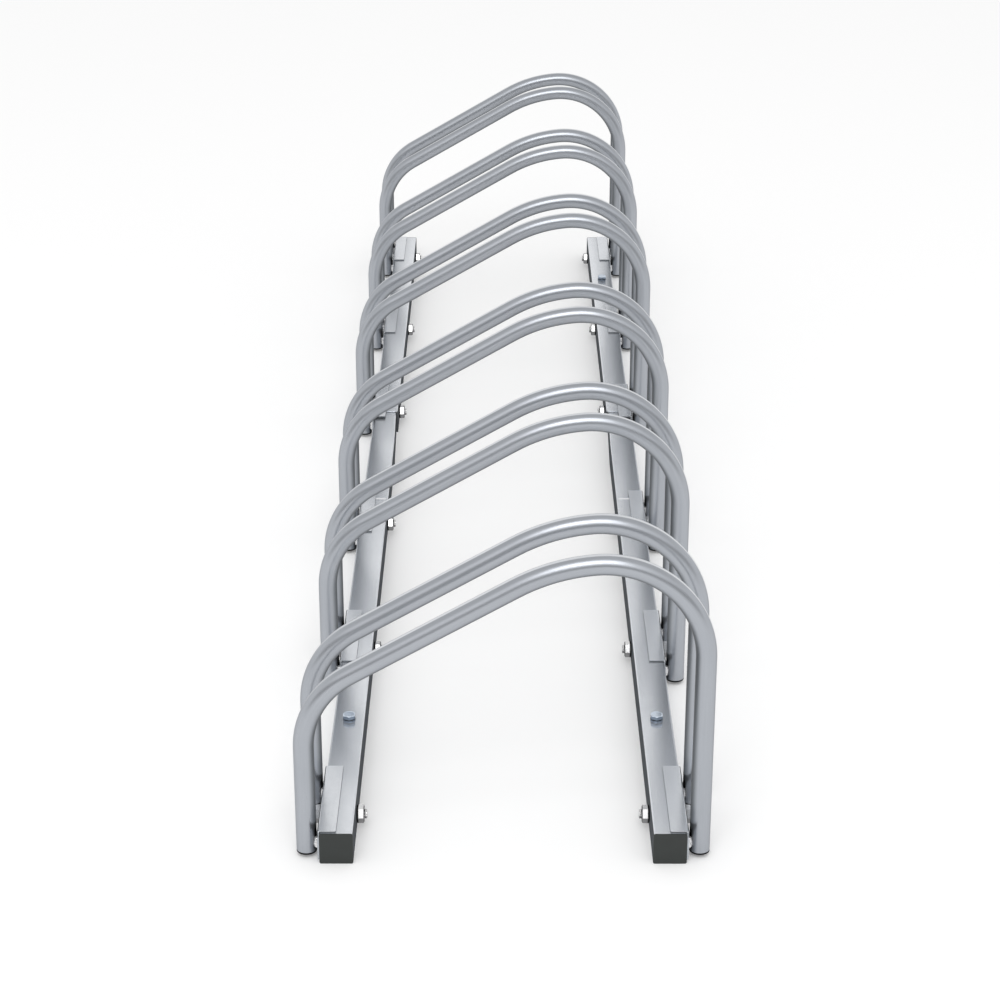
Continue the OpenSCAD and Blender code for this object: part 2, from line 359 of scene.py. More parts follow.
@dataclass(frozen=True)
class DrawnTube(Finish):
    """Satin tube with fine lines along its length, faint cloudy patches and rare scuffs.

    The grain follows the straightened tube, so the lines go round every bend. Shares
    across the tube count from its centre line to the hoop's outer side, at 1.

    Attributes:
        tube_radius: Outer radius of the tube.
        under: The colour of the painted shade on the inner side, which faces the floor and the
            rack.
        under_shares: Where across the tube that colour is full, and where it ends.
        crest: The colour of the painted highlight, a fine bright line along the hoop's upper outer
            side.
        crest_shares: Where across the tube the painted highlight starts, and where it is full.
        crest_heights: The height at which the painted highlight starts, and from which it is full.
        black: The colour of the painted shade in the groove on a leg's inner side, above its weld
            beads.
        mark_shares: Where across the tube that painted shade is full, and where it ends.
        mark_low: Height from which the painted shade is full.
        mark_high: Height up to which it is full.
        mark_fades: How far it reaches below and above.
    """

    layers: tuple[Layer, ...] = (
        # Fine lines along the tube
        Layer(900.0, 3.0, stretch=(1.0, 1.0, 0.02), share=0.45, height=1.0),
        # Faint clouds
        Layer(60.0, stretch=(1.0, 1.0, 0.35), share=0.40, height=0.3),
        # Rare scuffs
        Layer(240.0, 4.0, stretch=(1.0, 1.0, 0.12), span=(0.70, 0.82), share=0.35),
    )
    bump_depth: float = 0.012 * MM
    tube_radius: float = 8.25 * MM
    under: Linear = (0.12, 0.13, 0.14)
    under_shares: Span = (-1.0, -0.40)
    crest: Linear = (0.80, 0.82, 0.85)
    crest_shares: Span = (0.955, 0.985)
    crest_heights: Span = (110.0 * MM, 200.0 * MM)
    black: Linear = (0.004, 0.004, 0.005)
    mark_shares: Span = (-0.88, -0.74)
    mark_low: float = 17.0 * MM
    mark_high: float = 23.5 * MM
    mark_fades: Span = (1.0 * MM, 5.0 * MM)

    def coordinates(self, graph: Graph) -> Wire:
        """The place on the straightened tube."""
        return graph.add("ShaderNodeAttribute", {"attribute_name": UNROLLED}, {}, "Vector")

    def across(self, graph: Graph, shares: Span) -> Wire:
        """A smooth step across the tube, which rises towards the hoop's outer side."""
        return graph.ramp(graph.along("X", self.coordinates(graph)), shares, self.tube_radius)

    def mark(self, graph: Graph) -> Wire:
        """A mask of the painted shade in the groove between a leg and its bracket."""
        level = graph.band(graph.along("Z"), self.mark_low, self.mark_high, self.mark_fades)
        return level * (1.0 - self.across(graph, self.mark_shares))

    def metalness(self, graph: Graph) -> Wire:
        """The painted groove shade is not metallic."""
        return (1.0 - self.mark(graph)) * self.metallic

    def colouring(self, graph: Graph, grain: Wire) -> Wire:
        """Lays the painted shade on the inner side, the painted highlight and the painted groove
        shade over the grain.

        Args:
            graph: The material's graph.
            grain: The share of the shade.

        Returns:
            The base colour.
        """
        # Painted shade on the tube's inner side, which faces the floor and the rack
        inner = 1.0 - self.across(graph, self.under_shares)
        # Painted highlight along the hoop's upper outer side
        line = self.across(graph, self.crest_shares)
        line = line * graph.ramp(graph.along("Z"), self.crest_heights)
        toned = graph.blend(inner, graph.blend(grain, self.colour, self.shade), self.under)
        # Painted shade in the groove between each leg and its bracket, above the weld beads
        return graph.blend(self.mark(graph), graph.blend(line, toned, self.crest), self.black)


@dataclass(frozen=True)
class GalvanisedSheet(Finish):
    """Galvanised steel with a faint spangle and brushing along the rack.

    A rail's top carries painted shade towards the legs and is brighter towards the middle
    of the rack. The rails' inner sides and the sheet's cut edges carry painted shade, and a
    painted highlight lies across a rail's top on the near seam. Inward places
    count from a rail's centre line towards the middle of the rack.

    Attributes:
        rail_x: Distance of a rail's centre line from the middle.
        half_width: Half of a rail's width.
        sheet: Thickness of a bracket's sheet.
        painted_top_shade: The colour of the painted shade on the rail's top next to the legs.
        painted_top_shade_shares: Inward places where it is full and where it ends, in half widths.
        bracket_shade_drop: How much less of that painted shade a bracket's top gets.
        bracket_shade_drop_shares: Where that starts above the rail and is full, in thicknesses.
        dark: The colour of the painted shade on the inner sides and the cut edges.
        side_shares: Inward places where a dark side starts and is full, in half widths.
        corner: How far past the diagonals to the rail's edges it starts and is full.
        edge_shares: Where an edge is dark above the rail, in thicknesses.
        edge_fades: How far the dark edge reaches below and above that, in thicknesses.
        edge_start: Where it starts and is full, inward from the rail's outer side.
        bend_shares: Inward places where the bend's dark outside is full and where it ends,
            in thicknesses from the rail's outer side.
        bend_heights: Heights at which that starts and is full, in half widths.
        seam_y: Distance of the seams between rail sections and joiners from the middle.
        bare: The colour of the painted highlight, a bright line across a rail's top on the near
            seam.
        bare_metal: How much less metallic that painted highlight is.
        line_width: Width of the line.
        line_fade: How far it fades out on each side.
        line_shares: Inward places where it starts to end and has ended, in half widths.
        line_depth: How far above and below the rail's top it is full, and then fades.
        cut_depth: Depth of the painted shade on a section's cut end past the far seam.
        cut_fades: How far that reaches before and after.
    """

    layers: tuple[Layer, ...] = (
        # Brushing along the rack
        Layer(1100.0, 3.0, stretch=(1.0, 0.03, 1.0), share=0.16, height=1.0),
        # The faint spangle
        Layer(210.0, share=0.22, height=0.4, pattern=Pattern.SPANGLE),
        # Wide clouds
        Layer(24.0, 3.0, share=0.36),
        # Specks
        Layer(900.0, 1.0, span=(0.66, 0.80), share=0.26),
    )
    rail_x: float = 132.75 * MM
    half_width: float = 13.5 * MM
    sheet: float = 1.5 * MM
    painted_top_shade: Linear = (0.46, 0.485, 0.52)
    painted_top_shade_shares: Span = (-1.2, 1.0)
    bracket_shade_drop: float = 0.8
    bracket_shade_drop_shares: Span = (0.3, 0.4)
    dark: Linear = (0.105, 0.112, 0.12)
    side_shares: Span = (0.0, 0.5)
    corner: Span = (-0.1 * MM, 0.3 * MM)
    edge_shares: Span = (0.10, 0.80)
    edge_fades: Span = (0.05, 0.10)
    edge_start: Span = (0.0, 0.2 * MM)
    bend_shares: Span = (-0.6, -0.3)
    bend_heights: Span = (1.6, 1.8)
    seam_y: float = 126.5 * MM
    bare: Linear = (0.97, 0.98, 1.0)
    bare_metal: float = 0.5
    line_width: float = 3.0 * MM
    line_fade: float = 0.3 * MM
    line_shares: Span = (0.75, 0.85)
    line_depth: float = 0.1 * MM
    cut_depth: float = 0.1 * MM
    cut_fades: Span = (0.05 * MM, 0.1 * MM)

    def section(self, graph: Graph) -> tuple[Wire, Wire]:
        """The place on the rail's section: how far inward it is, and its height."""
        return self.rail_x - abs(graph.along("X")), graph.along("Z")

    def near_seam(self, graph: Graph) -> Wire:
        """A mask of the painted highlight across a rail's top on the seam at the near side.

        Args:
            graph: The material's graph.

        Returns:
            The mask.
        """
        inward, z = self.section(graph)
        middle, half, top = -self.seam_y, self.line_width / 2, 2 * self.half_width
        fades = (self.line_fade, self.line_fade)
        line = graph.band(graph.along("Y"), middle - half, middle + half, fades)
        depth = self.line_depth
        level = graph.band(z, top - depth, top + depth, (depth, depth))
        return line * level * (1.0 - graph.ramp(inward, self.line_shares, self.half_width))

    def painted_shade_mask(self, graph: Graph) -> Wire:
        """A mask of all the painted shade.

        That is the rails' inner sides, the cut edges on the brackets' tops, the outside
        of the brackets' bends, and the sections' cut ends, which stand above the joiners'
        narrow ends on the far seam.

        Args:
            graph: The material's graph.

        Returns:
            The mask.
        """
        inward, z = self.section(graph)
        top = 2 * self.half_width
        # Only the inner side lies further inward of the rail's middle than above or below it
        diagonal = inward - abs(z - self.half_width)
        side = graph.ramp(diagonal, self.corner)
        side = side * graph.ramp(inward, self.side_shares, self.half_width)
        low, high = (top + share * self.sheet for share in self.edge_shares)
        fade_in, fade_out = (share * self.sheet for share in self.edge_fades)
        edge = graph.band(z, low, high, (fade_in, fade_out))
        edge = edge * graph.ramp(inward, self.edge_start, origin=-self.half_width)
        bend = 1.0 - graph.ramp(inward, self.bend_shares, self.sheet, -self.half_width)
        bend = bend * graph.ramp(z, self.bend_heights, self.half_width)
        far_seam = (self.seam_y, self.seam_y + self.cut_depth)
        return side | bend | edge | graph.band(graph.along("Y"), *far_seam, self.cut_fades)

    def metalness(self, graph: Graph) -> Wire:
        """The parts with painted shade are not metallic, and the painted seam highlight is half so.
        """
        lit = (1.0 - self.painted_shade_mask(graph)) * (1.0 - self.near_seam(graph) * self.bare_metal)
        return lit * self.metallic

    def colouring(self, graph: Graph, grain: Wire) -> Wire:
        """Lays the painted shade and the painted seam highlight over the grain by the place on the
        rail's section.

        Args:
            graph: The material's graph.
            grain: The share of the shade.

        Returns:
            The base colour.
        """
        inward, z = self.section(graph)
        # Painted shade on a rail's top towards the legs, weaker on a bracket's top
        bracket = graph.ramp(z, self.bracket_shade_drop_shares, self.sheet, 2 * self.half_width)
        painted_top_shade_level = 1.0 - graph.ramp(inward, self.painted_top_shade_shares, self.half_width)
        painted_top_shade_level = painted_top_shade_level * (1.0 - self.bracket_shade_drop * bracket)
        toned = graph.blend(painted_top_shade_level, graph.blend(grain, self.colour, self.shade), self.painted_top_shade)
        # Painted highlight across the rail's top on the near seam
        toned = graph.blend(self.near_seam(graph), toned, self.bare)
        # Painted shade on the inner sides, the cut edges, the bends' outside and the far seam's cut
        # ends
        return graph.blend(self.painted_shade_mask(graph), toned, self.dark)


@dataclass(frozen=True)
class PlatedZinc(Finish):
    """Bright zinc plating with fine pits, for the cross bolts and their nuts.

    Attributes:
        fade: How far the edge of a tone fades.
        lower: The colour of the painted shade on the facets below the bolt's axis.
        axis_z: Height of the bolt's axis.
        rim: The colour of the painted shade on the nuts' chamfered rims.
        rim_from: Distance from the middle of the rack at which a nut's rim starts.
        rim_width: Width of the rim.
        rim_fade: How far its edges fade.
        grime: The colour of the painted contact shadow next to the rail and the bracket, and of the
            anchors' dark joint.
        grime_from: Distance from the middle at which the painted contact shadow starts.
        grime_to: Distance at which it ends.
    """

    layers: tuple[Layer, ...] = (
        # Clouds
        Layer(260.0, 3.0, share=0.30, height=1.0),
        # Fine pits
        Layer(1900.0, span=(0.55, 0.75), share=0.20, height=1.0),
    )
    bump_depth: float = 0.006 * MM
    bump_strength: float = 0.3
    fade: float = 0.3 * MM
    lower: Linear = (0.36, 0.36, 0.365)
    axis_z: float = 13.5 * MM
    rim: Linear = (0.22, 0.22, 0.225)
    rim_from: float = 112.7 * MM
    rim_width: float = 0.8 * MM
    rim_fade: float = 0.2 * MM
    grime: Linear = (0.02, 0.02, 0.022)
    grime_from: float = 117.8 * MM
    grime_to: float = 148.3 * MM

    def colouring(self, graph: Graph, grain: Wire) -> Wire:
        """Paints shade on the lower facets and the rims, and a painted contact shadow next to the
        rail and the bracket.

        Args:
            graph: The material's graph.
            grain: The share of the shade.

        Returns:
            The base colour.
        """
        out = abs(graph.along("X"))
        # Painted shade on the facets below the bolt's axis
        below = 1.0 - graph.ramp(graph.along("Z"), (-self.fade, self.fade), origin=self.axis_z)
        # Painted shade on the nuts' chamfered rims
        rim_to = self.rim_from + self.rim_width
        rim = graph.band(out, self.rim_from, rim_to, (self.rim_fade, self.rim_fade))
        # Painted contact shadow next to the rail and the bracket
        contact_shadow = graph.band(out, self.grime_from, self.grime_to, (self.fade, self.fade))
        toned = graph.blend(below, graph.blend(grain, self.colour, self.shade), self.lower)
        return graph.blend(contact_shadow, graph.blend(rim, toned, self.rim), self.grime)


@dataclass(frozen=True)
class AnchorZinc(PlatedZinc):
    """Bluish plating of the floor anchors, with a dark joint between head and washer.

    Attributes:
        flank_shade: The colour of the painted shade on the head's sides and on the washer.
        crown_z: Height up to which the head has that colour.
        washer_z: Height of the washer's top.
        joint_reach: How far the dark joint is full below and above the washer's top.
        joint_fade: How far it fades out from there.
    """

    flank_shade: Linear = (0.28, 0.33, 0.40)
    crown_z: float = 31.7 * MM
    washer_z: float = 28.6 * MM
    joint_reach: Span = (0.4 * MM, 0.3 * MM)
    joint_fade: float = 0.2 * MM

    def colouring(self, graph: Graph, grain: Wire) -> Wire:
        """Lays the dark joint and the painted shade on the lower parts by height.

        Args:
            graph: The material's graph.
            grain: The share of the shade.

        Returns:
            The base colour.
        """
        z = graph.along("Z")
        # Painted shade on the head's sides and the washer, below its lighter top
        sides = 1.0 - graph.ramp(z, (0.0, self.fade), origin=self.crown_z)
        low, high = self.washer_z - self.joint_reach[0], self.washer_z + self.joint_reach[1]
        joint = graph.band(z, low, high, (self.joint_fade, self.joint_fade))
        toned = graph.blend(sides, graph.blend(grain, self.colour, self.shade), self.flank_shade)
        return graph.blend(joint, toned, self.grime)


@dataclass(frozen=True)
class WeldMetal(Finish):
    """Bare, lumpy weld metal with soot-dark patches."""

    layers: tuple[Layer, ...] = (
        # Lumps
        Layer(520.0, 4.0, height=1.0),
        # Soot on the highest of them
        Layer(520.0, 4.0, span=(0.56, 0.72), share=1.0),
    )
    bump_depth: float = 0.12 * MM
    bump_strength: float = 0.8


@dataclass(frozen=True)
class MouldedPlastic(Finish):
    """Moulded plastic with a fine, even texture."""

    layers: tuple[Layer, ...] = (
        # Fine texture
        Layer(2600.0, share=0.5, height=1.0),
        # Clouds
        Layer(130.0, share=0.5),
    )
    bump_depth: float = 0.05 * MM


FINISHES: dict[Slot, Finish] = {
    Slot.TUBE_STEEL: DrawnTube(
        "satin_drawn_tube", (0.455, 0.475, 0.510), (0.35, 0.37, 0.40),
        metallic=0.85, roughness=0.30, edge_tint=0.6, gloss=0.0),
    Slot.GALVANISED: GalvanisedSheet(
        "galvanised_steel", (0.94, 0.96, 0.99), (0.72, 0.75, 0.80),
        metallic=0.85, roughness=0.24, edge_tint=0.75, gloss=0.0),
    Slot.BRIGHT_ZINC: PlatedZinc(
        "bright_zinc_plating", (0.95, 0.95, 0.95), (0.66, 0.66, 0.66),
        metallic=0.9, roughness=0.18, edge_tint=0.4),
    Slot.ANCHOR_ZINC: AnchorZinc(
        "bluish_zinc_plating", (0.78, 0.86, 0.96), (0.60, 0.67, 0.77),
        metallic=0.9, roughness=0.16, edge_tint=0.5),
    Slot.WELD_METAL: WeldMetal(
        "bare_weld_metal", (0.74, 0.74, 0.75), (0.05, 0.05, 0.055),
        metallic=0.7, roughness=0.38, spread=0.12),
    Slot.CAP_PLASTIC: MouldedPlastic(
        "charcoal_cap_plastic", (0.036, 0.041, 0.039), (0.026, 0.029, 0.028),
        metallic=0.0, roughness=0.5, gloss=0.35),
    Slot.PLUG_PLASTIC: MouldedPlastic(
        "black_plug_plastic", (0.006, 0.006, 0.007), (0.003, 0.003, 0.004),
        metallic=0.0, roughness=0.55, gloss=0.1),
}


# Surfaces


@dataclass
class Surface:
    """A closed surface as arrays: points, four-sided faces and three-sided ones.

    Attributes:
        points: One row of X, Y and Z for each point.
        quads: Four point numbers for each four-sided face.
        tris: Three point numbers for each three-sided face.
        unrolled: For tube pieces, each point's place on the straightened tube.
    """

    points: np.ndarray
    quads: np.ndarray
    tris: np.ndarray = field(default_factory=lambda: np.zeros((0, 3), int))
    unrolled: np.ndarray | None = None

    @staticmethod
    def swept(
        grid: np.ndarray, wrapped: bool = False, unrolled: np.ndarray | None = None
    ) -> "Surface":
        """Closes a grid round its columns, and at its end rows.

        Args:
            grid: Points by row, column and axis.
            wrapped: Whether the last row meets the first, as in a ring-shaped tube. If
                not, a fan on the middle of each end row closes it.
            unrolled: Each point's place on the straightened tube.

        Returns:
            The closed surface.
        """
        rows, columns = grid.shape[:2]
        row = np.arange(rows if wrapped else rows - 1)[:, None]
        here = np.arange(columns)
        after = (here + 1) % columns
        below, above = row * columns, (row + 1) % rows * columns
        faces = [below + here, below + after, above + after, above + here]
        quads = np.stack(faces, axis=-1).reshape(-1, 4)
        points = grid.reshape(-1, 3)
        if wrapped:
            return Surface(points, quads, unrolled=unrolled)
        tip, last = np.full(columns, rows * columns), (rows - 1) * columns
        fans = [np.stack([after, here, tip], axis=1)]
        fans.append(np.stack([here + last, after + last, tip + 1], axis=1))
        points = np.vstack([points, grid[0].mean(axis=0), grid[-1].mean(axis=0)])
        return Surface(points, quads, np.vstack(fans))

    def placed(self, axes: np.ndarray, origin: Sequence[float]) -> "Surface":
        """A copy that is turned to the axes in the rows and moved to the origin."""
        points = self.points @ axes + np.array(origin)
        return Surface(points, self.quads, self.tris, self.unrolled)

    @staticmethod
    def joined(parts: Sequence["Surface"]) -> "Surface":
        """Puts several surfaces into one, with their points numbered on.

        Args:
            parts: The surfaces.

        Returns:
            The joined surface.
        """
        starts = np.cumsum([0] + [len(part.points) for part in parts[:-1]])
        return Surface(
            np.vstack([part.points for part in parts]),
            np.vstack([part.quads + start for part, start in zip(parts, starts)]),
            np.vstack([part.tris + start for part, start in zip(parts, starts)]),
        )

    def outward(self) -> "Surface":
        """Turns the faces outwards.

        The volume that the faces enclose is a sixth of the sum of the box products of
        each triangle's corners. If it is negative, every face is turned over.

        Returns:
            The surface itself.
        """
        halves = [self.quads[:, [0, 1, 2]], self.quads[:, [0, 2, 3]], self.tris]
        corner = self.points[np.vstack(halves)]
        volume = np.einsum("ij,ij->", corner[:, 0], np.cross(corner[:, 1], corner[:, 2])) / 6
        if volume < 0:
            self.quads = self.quads[:, ::-1]
            self.tris = self.tris[:, ::-1]
        return self

    def mesh(self, name: str, sharp: float | None) -> bpy.types.Mesh:
        """Makes a smooth mesh of the surface.

        Args:
            name: The mesh's name.
            sharp: The angle in degrees past which an edge stays sharp.

        Returns:
            The mesh.
        """
        mesh = bpy.data.meshes.new(name)
        mesh.from_pydata(self.points.tolist(), [], self.quads.tolist() + self.tris.tolist())
        mesh.polygons.foreach_set("use_smooth", np.ones(len(mesh.polygons), bool))
        if sharp is not None:
            mesh.set_sharp_from_angle(angle=math.radians(sharp))
        if self.unrolled is not None:
            layer = mesh.attributes.new(UNROLLED, "FLOAT_VECTOR", "POINT")
            layer.data.foreach_set("vector", self.unrolled.astype(np.float32).ravel())
        mesh.update()
        return mesh


# Pieces


def new_object(name: str, data: bpy.types.ID) -> bpy.types.Object:
    """Makes an object of a mesh, a lamp or a camera and links it to the scene.

    Args:
        name: The object's name.
        data: The mesh, the lamp or the camera.

    Returns:
        The new object.
    """
    made = bpy.data.objects.new(name, data)
    bpy.context.scene.collection.objects.link(made)
    return made


class Wardrobe:
    """Keeps one material for each slot and dresses pieces with it."""

    def __init__(self) -> None:
        """Makes every finish's material."""
        self.materials = {slot: finish.material() for slot, finish in FINISHES.items()}

    def dress(self, piece: bpy.types.Object, slot: Slot) -> None:
        """Gives a new piece or a CAD node's object the material of a slot."""
        piece.data.materials.clear()
        piece.data.materials.append(self.materials[slot])

    def swap(
        self, node: str, name: str, slot: Slot, surface: Surface, sharp: float | None = None
    ) -> None:
        """Makes a piece that rides on the rack in the place of a CAD node, and dresses it.

        Args:
            node: The node that the piece stands for.
            name: The piece's name.
            slot: Its material slot.
            surface: Its surface.
            sharp: The angle in degrees past which an edge stays sharp.
        """
        piece = new_object(name, surface.outward().mesh(name, sharp))
        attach(piece, BODY)
        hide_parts(node)
        self.dress(piece, slot)
        LOG.info("%s replaces %s", piece.name, node)


@dataclass
class Layout:
    """Where the rack's parts are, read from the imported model.

    Attributes:
        rail_x: Distance of a rail's centre line from the middle.
        rail_width: Side of a rail's square.
        plate_x: Distance of a bracket's outer face from the middle.
        leg_x: Distance of a leg's axis from the middle.
        stations: Y of each pair of hoops.
        hoops: Y of each hoop, by its node.
    """

    rail_x: float
    rail_width: float
    plate_x: float
    leg_x: float
    stations: list[float]
    hoops: dict[str, float]

    @staticmethod
    def from_frame(tube_radius: float) -> "Layout":
        """Reads the places from the nodes' boxes.

        Args:
            tube_radius: Outer radius of a leg.

        Returns:
            The layout.
        """
        rail_low, rail_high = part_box("right_rail_front")
        _, plate_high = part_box("right_bracket_1")
        _, plugs_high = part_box("right_foot_plugs")
        hoops = [f"hoop_{number}_{end}" for number in PAIRS for end in ("front", "rear")]
        return Layout(
            rail_x=(rail_low.x + rail_high.x) / 2,
            rail_width=rail_high.x - rail_low.x,
            plate_x=plate_high.x,
            leg_x=plugs_high.x - tube_radius,
            stations=[Layout.middle_y(f"right_bracket_{number}") for number in PAIRS],
            hoops={node: Layout.middle_y(node) for node in hoops},
        )

    @staticmethod
    def middle_y(node: str) -> float:
        """The middle of a node's box along the rack."""
        low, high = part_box(node)
        return (low.y + high.y) / 2


@dataclass
class Hoops:
    """The twelve bent tubes.

    Attributes:
        tube_radius: Outer radius of the tube.
        wall: Wall thickness of the tube.
        foot_z: Height of the tube's lower ends.
        low_bend_z: Height at which the low side starts to bend.
        low_bend_radius: Bend radius of the low side.
        slope_angle: Angle of the straight slope, in degrees.
        crown_radius: Bend radius of the crown.
        crown_end_angle: Angle at which the crown passes into the high bend, in degrees.
        high_bend_radius: Bend radius of the high side.
        edge: Width of the worn edge at the tube's ends.
        sides: Points round the tube.
        turn_step: Turn between two rings in a bend, in degrees.
        shift: How far the grain moves on from hoop to hoop, as a factor on their places.
        sharp: The angle in degrees past which an edge stays sharp.
    """

    tube_radius: float = 8.25 * MM
    wall: float = 1.2 * MM
    foot_z: float = 4.6 * MM
    low_bend_z: float = 96.5 * MM
    low_bend_radius: float = 74 * MM
    slope_angle: float = 30.0
    crown_radius: float = 150 * MM
    crown_end_angle: float = 5.0
    high_bend_radius: float = 79.5 * MM
    edge: float = 0.15 * MM
    sides: int = 48
    turn_step: float = 2.5
    shift: float = 3.0
    sharp: float = 40.0

    def path(self, leg_x: float) -> tuple[np.ndarray, np.ndarray, np.ndarray]:
        """Follows the tube's centre line from the low foot to the high foot.

        A straight stretch goes along its heading. In a bend the heading falls evenly from
        its start s, and the point with the heading a lies the radius times
        (sin s - sin a, cos a - cos s) past the bend's first point.

        Args:
            leg_x: Distance of a leg's axis from the middle.

        Returns:
            The points in X and Z, the headings in radians and the lengths so far.
        """
        slope, crown_end = math.radians(self.slope_angle), math.radians(self.crown_end_angle)
        upright = math.pi / 2
        run = (
            2 * leg_x
            - self.low_bend_radius * (1 - math.sin(slope))
            - self.crown_radius * (math.sin(slope) - math.sin(crown_end))
            - self.high_bend_radius * (1 + math.sin(crown_end))
        )
        bends = [(self.low_bend_radius, upright, slope), (self.crown_radius, slope, crown_end),
                 (self.high_bend_radius, crown_end, -upright)]
        straights = [self.low_bend_z - self.foot_z, run / math.cos(slope), 0.0]
        rows, here, so_far = [], np.array([-leg_x, self.foot_z]), 0.0
        for straight, (radius, start, end) in zip(straights, bends, strict=True):
            if straight > 0:
                rows.append([[*here, start, so_far]])
                here = here + straight * np.array([math.cos(start), math.sin(start)])
                so_far += straight
            steps = round(math.degrees(start - end) / self.turn_step)
            heading = np.linspace(start, end, steps + 1)
            turn = [math.sin(start) - np.sin(heading), np.cos(heading) - math.cos(start)]
            places = here + radius * np.stack(turn, axis=1)
            lengths = so_far + radius * (start - heading)
            # The next stretch starts with the bend's last point
            rows.append(np.column_stack([places, heading, lengths])[:-1])
            here, so_far = places[-1], lengths[-1]
        foot = [here[0], self.foot_z, -upright, so_far + here[1] - self.foot_z]
        rows.append([[*here, -upright, so_far], foot])
        path = np.vstack(rows)
        return path[:, :2], path[:, 2], path[:, 3]

    def surface(self, leg_x: float, y: float) -> Surface:
        """Sweeps a ring along the centre line, outside to one end and back inside.

        A point at the angle a round the ring lies at the centre line plus the radius
        times the cosine of a along the normal and the sine of a along Y. The end rings
        step in by the worn edge, once along the tube and once across it.

        Args:
            leg_x: Distance of a leg's axis from the middle.
            y: The hoop's place along the rack.

        Returns:
            The closed tube.
        """
        points, headings, lengths = self.path(leg_x)
        ahead = np.stack([np.cos(headings), np.sin(headings)], axis=1)
        starts = [points[:1], points[:1] + ahead[:1] * self.edge]
        stops = [points[-1:] - ahead[-1:] * self.edge, points[-1:]]
        centre = np.vstack([*starts, points[1:-1], *stops, points[::-1]])
        outer = [lengths[:1], lengths[:1] + self.edge, lengths[1:-1]]
        outer += [lengths[-1:] - self.edge, lengths[-1:]]
        length = np.concatenate([*outer, lengths[::-1]])[:, None]
        heading = np.concatenate([headings[:1], headings, headings[-1:], headings[::-1]])[:, None]
        radius = np.full((len(centre), 1), self.tube_radius)
        radius[-len(points):] -= self.wall
        radius[[0, -len(points) - 1]] -= self.edge
        angle = np.linspace(0, 2 * np.pi, self.sides, endpoint=False)[None, :]
        across, along = radius * np.cos(angle), radius * np.sin(angle)
        x = centre[:, :1] - across * np.sin(heading)
        z = centre[:, 1:] + across * np.cos(heading)
        grid = np.stack([x, y + along, z], axis=-1)
        # Each hoop takes its own stretch of the grain
        length = np.broadcast_to(length + self.shift * y, across.shape)
        unrolled = np.stack([across, along, length], axis=-1).reshape(-1, 3)
        return Surface.swept(grid, wrapped=True, unrolled=unrolled)

    def build(self, layout: Layout, wardrobe: Wardrobe) -> None:
        """Makes the twelve hoops in place of their nodes.

        Args:
            layout: The rack's places.
            wardrobe: The materials.
        """
        for node, y in layout.hoops.items():
            surface = self.surface(layout.leg_x, y)
            name = node.replace("hoop", "bent_tube")
            wardrobe.swap(node, name, Slot.TUBE_STEEL, surface, self.sharp)


@dataclass(frozen=True)
class HexHead:
    """A six-sided head or nut.

    Attributes:
        flats: Width across the flats.
        height: Its height.
        chamfer: Slope of the turned outer corners.
        rim: Share of the flats' half width where the chamfer starts.
        sides: Points round it, a multiple of six.
        steps: Rows of a chamfer.
    """

    flats: float
    height: float
    chamfer: float = math.tan(math.radians(30))
    rim: float = 0.95
    sides: int = 72
    steps: int = 7

    def outline(self) -> tuple[np.ndarray, np.ndarray]:
        """The hexagon's radius at each angle.

        It is half the flats over the cosine of the angle from the nearest flat's middle.

        Returns:
            The angles and the radii.
        """
        angle = np.linspace(0, 2 * np.pi, self.sides, endpoint=False)
        sixth = np.pi / 3
        from_flat = (angle + sixth / 2) % sixth - sixth / 2
        return angle, self.flats / 2 / np.cos(from_flat)

    def rows(self, chamfered_low: bool) -> tuple[np.ndarray, np.ndarray]:
        """The head's wall from its low face to its top.

        At each height the radius is the hexagon's or the chamfer cone's, whichever is
        smaller, so the corners get their curved edges.

        Args:
            chamfered_low: Whether the low face has a chamfer too.

        Returns:
            The radii by row and angle, and the rows' heights.
        """
        _, hexagon = self.outline()
        start = self.flats / 2 * self.rim
        rise = np.linspace(0, (hexagon.max() - start) * self.chamfer, self.steps)
        low = rise if chamfered_low else rise[:1]
        heights = np.concatenate([low, self.height - rise[::-1]])
        nearest = self.height - heights
        if chamfered_low:
            nearest = np.minimum(nearest, heights)
        cone = nearest / self.chamfer + start
        return np.minimum(hexagon[None, :], cone[:, None]), heights


@dataclass(frozen=True)
class Thread:
    """An outside thread as a ripple on a shank.

    Attributes:
        radius: Outer radius of the thread.
        depth: Depth of the thread.
        pitch: Length of one turn.
        turns: How many turns are cut.
        turn_rows: Rows of a turn.
    """

    radius: float
    depth: float
    pitch: float
    turns: int = 8
    turn_rows: int = 10

    def rows(self, end: float, angle: np.ndarray) -> tuple[np.ndarray, np.ndarray]:
        """The thread's radii up to its end.

        The radius falls from the crest by the depth times a triangle wave of the height
        over the pitch less the angle over a full turn. It closes in at the end.

        Args:
            end: How far from the head the thread ends.
            angle: The angles round the shank.

        Returns:
            The radii by row and angle, and the rows' heights.
        """
        heights = np.linspace(end - self.turns * self.pitch, end, self.turns * self.turn_rows)
        turn = (heights[:, None] / self.pitch - angle[None, :] / (2 * np.pi)) % 1.0
        closed = 1 - np.clip((end - heights) / self.depth, 0, 1)[:, None]
        return self.radius - self.depth * (np.abs(2 * turn - 1) + closed), heights


